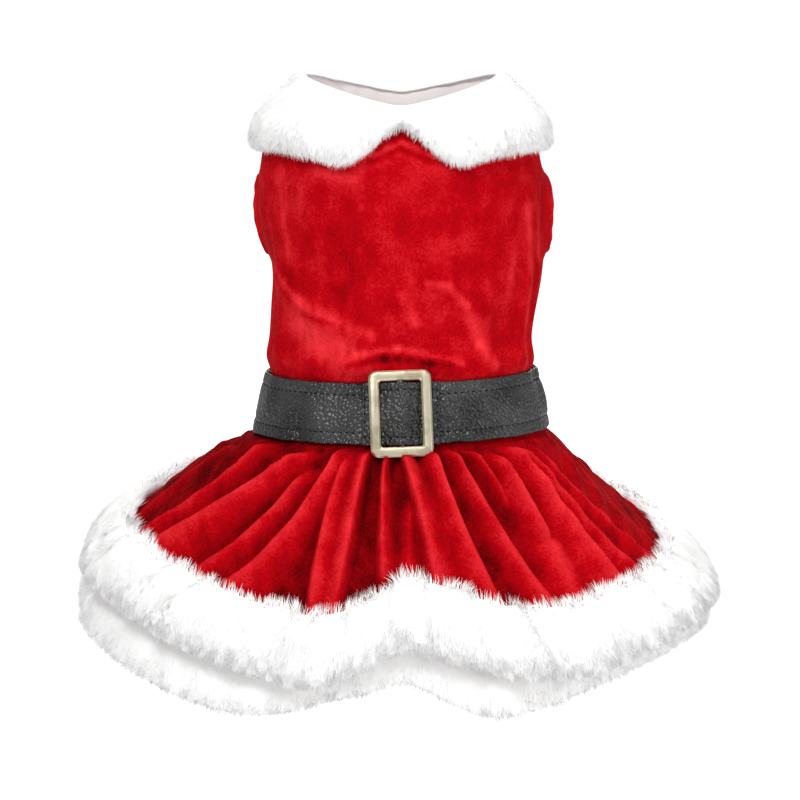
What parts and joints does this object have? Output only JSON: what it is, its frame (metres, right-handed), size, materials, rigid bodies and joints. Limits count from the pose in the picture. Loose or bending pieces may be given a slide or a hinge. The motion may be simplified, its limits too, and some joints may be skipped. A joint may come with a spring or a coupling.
{
  "type": "dog dress",
  "caption": "Small dog's dress held filled out: velvet bodice with leg openings, fur collar with a notch, leather belt with a metal buckle, gathered two-tier skirt with fur hems.",
  "frame": {"origin": "centre of the neck opening", "axes": "+Z out of the neck opening towards the dog's head, -Y the dog's back, which is the side on show, +X to the right of that side"},
  "size_m": [0.3551, 0.211, 0.3487],
  "materials": {
    "red_velvet": "short pile with a soft sheen",
    "white_fur": "deep soft pile",
    "black_leather": "pebbled, satin",
    "pale_brass": "satin, antique pale brass"
  },
  "bodies": {
    "root": {"bodice": "red_velvet", "fur_collar": "white_fur", "belt": "black_leather", "buckle": "pale_brass", "buckle_tab": "black_leather", "skirt_upper": "red_velvet", "fur_trim_upper": "white_fur", "skirt_under": "red_velvet", "fur_trim_under": "white_fur"}
  },
  "joints": []
}
